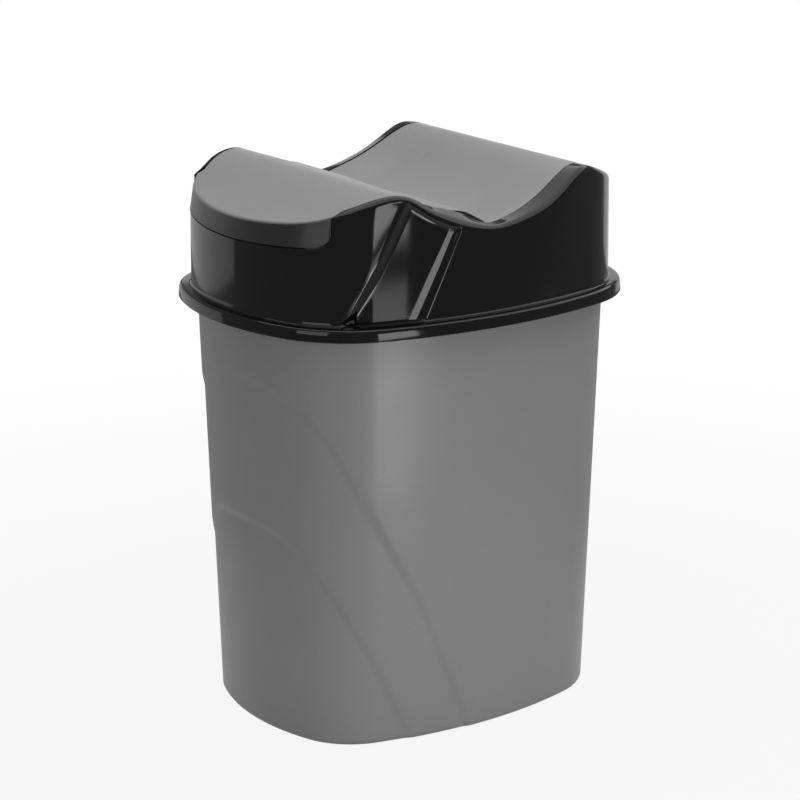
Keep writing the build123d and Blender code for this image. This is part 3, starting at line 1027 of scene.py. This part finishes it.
def painted_shade_by_facing(nodes, links, normal, painted_side_shade):
    """Painted shade: 1 on faces that look up, the given share on faces that stand upright or look down."""
    upright = nodes.new("ShaderNodeSeparateXYZ")
    links.new(normal, upright.inputs[0])
    return mapped(nodes, links, upright.outputs["Z"], painted_side_shade, 1.0, 0.3, 0.8)


def satin_plastic(name, dark, light, rough_low, rough_high, painted_side_shade=1.0):
    """Satin grey; faces that don't look up get painted shade, their colour darkened to the given share."""
    material, nodes, links, shader = new_material(name)
    place = nodes.new("ShaderNodeTexCoord")
    coords = place.outputs["Object"]
    share = nodes.new("ShaderNodeMath")
    share.operation = "MULTIPLY_ADD"
    links.new(mapped(nodes, links, noise(nodes, links, coords, SPECKS, 2.0), 0.0, 1.0), share.inputs[0])
    share.inputs[1].default_value = SPECK_SHARE
    clouds = noise(nodes, links, coords, CLOUDS, 3.0)
    links.new(mapped(nodes, links, clouds, 0.0, CLOUD_SHARE), share.inputs[2])
    # painted shade: the colour is scaled down on faces that don't look up
    side = nodes.new("ShaderNodeVectorMath")
    side.operation = "SCALE"
    links.new(mixed_grey(nodes, links, dark, light, share.outputs[0]), side.inputs[0])
    links.new(painted_shade_by_facing(nodes, links, place.outputs["Normal"], painted_side_shade), side.inputs["Scale"])
    links.new(side.outputs["Vector"], shader.inputs["Base Color"])
    wipes = noise(nodes, links, coords, WIPES, 4.0, 0.6)
    links.new(mapped(nodes, links, wipes, rough_low, rough_high), shader.inputs["Roughness"])
    shader.inputs["Specular IOR Level"].default_value = 0.5
    grain = bump(nodes, links, noise(nodes, links, coords, GRAIN, 2.0, 0.6), 0.22, 0.00006)
    links.new(grain.outputs["Normal"], shader.inputs["Normal"])
    return material


tub_grey = satin_plastic("tub_satin_grey", 0.29, 0.33, 0.30, 0.37)
# the flap's colour carries painted shade: its skirt and other faces that don't look up are darkened to 0.07
flap_grey = satin_plastic("flap_satin_grey_painted_shade", 0.33, 0.37, 0.27, 0.36, painted_side_shade=0.07)
print("two satin greys made")

# %% [markdown]
# Polished black plastic
#
# The frame comes from a polished mould, so it mirrors its surroundings. Real gloss
# mouldings are never quite flat: a slow ripple bends the reflections, and wiping leaves
# hair-fine scratches. The bump has both, and roughness drifts a little as with dust.

# %% Gloss plastic
FLOW, DUST, RIPPLE, SCRATCHES, SCRATCH_STRETCH = 14.0, 30.0, 26.0, 1800.0, 0.06
POLISHED, DUSTY = 0.06, 0.09


def gloss_plastic(name, dark, light):
    material, nodes, links, shader = new_material(name)
    coords = nodes.new("ShaderNodeTexCoord").outputs["Object"]
    flow = mapped(nodes, links, noise(nodes, links, coords, FLOW, 3.0), 0.0, 1.0)
    links.new(mixed_grey(nodes, links, dark, light, flow), shader.inputs["Base Color"])
    dust = noise(nodes, links, coords, DUST, 5.0, 0.65)
    links.new(mapped(nodes, links, dust, POLISHED, DUSTY), shader.inputs["Roughness"])
    shader.inputs["Specular IOR Level"].default_value = 0.5
    stretch = nodes.new("ShaderNodeMapping")
    stretch.inputs["Scale"].default_value = (1.0, 1.0, SCRATCH_STRETCH)
    links.new(coords, stretch.inputs["Vector"])
    scratches = noise(nodes, links, stretch.outputs["Vector"], SCRATCHES, 2.0)
    fine = bump(nodes, links, scratches, 0.05, 0.00003)
    slow = bump(nodes, links, noise(nodes, links, coords, RIPPLE, 1.0), 0.25, 0.0004)
    links.new(fine.outputs["Normal"], slow.inputs["Normal"])
    links.new(slow.outputs["Normal"], shader.inputs["Normal"])
    return material


frame_black = gloss_plastic("frame_gloss_black", 0.00255, 0.00375)
print("gloss black made")

# %% [markdown]
# Joining looks and motion
#
# Each piece takes its plastic, rides on the body that carries it in the real bin, and
# hides the plain solid of the same moulding. The frame and the flap are shown by
# several pieces each, and every piece hides the solid that it helps to replace.

# %% Finish, body and solid for each piece
dressing = [
    (tub, tub_grey, "bucket", "bucket_grey", "bucket"),
    (lid_wall, frame_black, "lid", "frame_black", "lid_frame"),
    (stop_wall, frame_black, "lid", "frame_black", "lid_frame"),
    (flap, flap_grey, "flap", "flap_grey", "swing_flap"),
]
dressing += [(lug, frame_black, "lid", "frame_black", "lid_frame") for lug in lugs]
dressing += [(piece, flap_grey, "flap", "flap_grey", "swing_flap") for piece in pins + webs]
for piece, material, body, slot, node in dressing:
    piece.data.materials.append(material)
    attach(piece, body)
    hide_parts(node)
print(len(dressing), "pieces dressed")

# %% [markdown]
# Floor and background
#
# A product picture on white needs a floor that looks white but still takes a little
# shadow. The floor is a matte disc, and for the camera most of it glows at exactly
# white: nine tenths near the bin, where a soft shadow has to show, and all of it at the
# disc's rim, so that no edge shows. Close to the bin it also glows for reflections,
# and that draws the light lines under the arches. Further out it doesn't, nor does the
# white world, because the gloss black in the photo mirrors a dark room.

# %% Floor
FLOOR_RADIUS, FLOOR_SIDES, FLOOR_GREY = 1000.0, 96, 0.4


def eye_rays(nodes, links, share=None):
    """1 for rays that the camera sees straight, or this share of it, else 0."""
    path = nodes.new("ShaderNodeLightPath")
    scaled = nodes.new("ShaderNodeMath")
    scaled.operation = "MULTIPLY"
    scaled.inputs[1].default_value = 1.0
    links.new(path.outputs["Is Camera Ray"], scaled.inputs[0])
    if share is not None:
        links.new(share, scaled.inputs[1])
    return scaled.outputs[0]


def floor_glow(nodes, links):
    """How much of the floor glows, by the distance from the bin and the kind of ray."""
    distance = nodes.new("ShaderNodeVectorMath")
    distance.operation = "LENGTH"
    links.new(nodes.new("ShaderNodeTexCoord").outputs["Object"], distance.inputs[0])
    to_rim = mapped(nodes, links, distance.outputs["Value"], 0.9, 1.0, 0.3, 0.8)
    near_bin = mapped(nodes, links, distance.outputs["Value"], 0.5, 0.0, 0.2, 0.45)
    seen = nodes.new("ShaderNodeMath")
    seen.operation = "MULTIPLY_ADD"
    links.new(nodes.new("ShaderNodeLightPath").outputs["Is Glossy Ray"], seen.inputs[0])
    links.new(near_bin, seen.inputs[1])
    links.new(eye_rays(nodes, links, to_rim), seen.inputs[2])
    return seen.outputs[0]


def build_floor():
    turns = [2 * math.pi * k / FLOOR_SIDES for k in range(FLOOR_SIDES)]
    rim = [(FLOOR_RADIUS * math.sin(a), FLOOR_RADIUS * math.cos(a), 0) for a in turns]
    floor = make_object("studio_floor", rim, [tuple(reversed(range(FLOOR_SIDES)))])
    material, nodes, links, shader = new_material("floor_white")
    shader.inputs["Base Color"].default_value = (FLOOR_GREY, FLOOR_GREY, FLOOR_GREY, 1)
    shader.inputs["Roughness"].default_value = 0.9
    shader.inputs["Specular IOR Level"].default_value = 0.0
    mix = nodes.new("ShaderNodeMixShader")
    links.new(floor_glow(nodes, links), mix.inputs[0])
    links.new(shader.outputs[0], mix.inputs[1])
    links.new(nodes.new("ShaderNodeEmission").outputs[0], mix.inputs[2])
    links.new(mix.outputs[0], nodes["Material Output"].inputs["Surface"])
    floor.data.materials.append(material)
    return floor


studio_floor = build_floor()
print("floor is", round(studio_floor.dimensions.x, 2), "m across")


# %% World
def build_world(ambient):
    """White for the camera, and this much even light for everything else."""
    world = bpy.data.worlds.new("white_studio")
    world.use_nodes = True
    nodes, links = world.node_tree.nodes, world.node_tree.links
    soft = nodes["Background"]
    soft.inputs["Color"].default_value = (1, 1, 1, 1)
    soft.inputs["Strength"].default_value = ambient
    white = nodes.new("ShaderNodeBackground")
    white.inputs["Color"].default_value = (1, 1, 1, 1)
    mix = nodes.new("ShaderNodeMixShader")
    links.new(eye_rays(nodes, links), mix.inputs[0])
    links.new(soft.outputs[0], mix.inputs[1])
    links.new(white.outputs[0], mix.inputs[2])
    links.new(mix.outputs[0], nodes["World Output"].inputs["Surface"])
    bpy.context.scene.world = world
    return world


world = build_world(0.2)
print("world", world.name, "set")

# %% [markdown]
# Lamps
#
# One large softbox above gives the flap its even grey and leaves the sides darker. Panels
# behind and to the left draw a lighter line along the outlines of the lid. Small lamps
# to the right of the camera stand where the shiny faces mirror them: one for the window
# in the channel, one for the channel's foot, one for the rim band, and a low strip that
# draws the bright band down the tub's corner. A weak fill lifts the front.


# %% Softboxes
def softbox(name, place, aim, width, height, strength, roll=0.0):
    """Rectangular lamp at place, turned to aim; strength is its brightness, 1 being white."""
    light = bpy.data.lights.new(name, "AREA")
    light.shape = "RECTANGLE"
    light.size, light.size_y = width * MM, height * MM
    light.energy = strength * math.pi * width * height * MM * MM
    lamp = bpy.data.objects.new(name, light)
    bpy.context.scene.collection.objects.link(lamp)
    lamp.location = Vector(place) * MM
    direction = (Vector(aim) - Vector(place)).normalized()
    turn = direction.to_track_quat("-Z", "Y") @ Quaternion((0, 0, 1), math.radians(roll))
    lamp.rotation_euler = turn.to_euler()
    lamp.visible_camera = False
    return lamp


def around(azimuth, distance, height):
    """Place at this angle from the front (-Y) towards +X."""
    a = math.radians(azimuth)
    return (distance * math.sin(a), -distance * math.cos(a), height)


LID_MIDDLE = (0, 0, 300)
lamps = [
    softbox("top_softbox", (0, 400, 1500), LID_MIDDLE, 2600, 2600, 1.2),
    softbox("back_panel", around(220, 1200, 300), LID_MIDDLE, 1400, 600, 0.55),
    softbox("left_panel", around(285, 1200, 300), LID_MIDDLE, 1300, 600, 0.45),
    softbox("corner_panel", (941, -25, 235), (92, -65, 300), 266, 190, 3.6, roll=4.5),
    softbox("foot_panel", (941, -25, 52), (92, -65, 60), 266, 104, 1.6),
    softbox("tub_strip", (515, -13, 78), (88, -65, 78), 90, 144, 6.0),
    softbox("low_panel", around(70, 690, 43), (92, -65, 300), 60, 60, 1.6),
    softbox("front_fill", around(20, 1600, 700), (0, 0, 180), 900, 900, 1.3),
]
print(len(lamps), "softboxes placed")

# %% [markdown]
# Camera
#
# The lens and place come from matching points of the bin in the photo: a long lens,
# a little above the rim, turned 55 degrees from the front towards the right side.

# %% Camera at the photo's angle
camera_data = bpy.data.cameras.new("camera")
camera_data.lens = 116.08
camera_data.sensor_width = 36.0
camera_data.shift_x = -0.0008
camera_data.shift_y = 0.0619
camera_data.clip_end = 50.0
camera = bpy.data.objects.new("camera", camera_data)
bpy.context.scene.collection.objects.link(camera)
camera.location = Vector((1281.87, -897.40, 650.13)) * MM
look = Vector((0, 0, 157.2)) * MM - camera.location
camera.rotation_euler = look.to_track_quat("-Z", "Y").to_euler()
bpy.context.scene.camera = camera
bpy.context.scene.view_settings.view_transform = "Standard"
print("camera is", round(look.length, 3), "m from the bin")
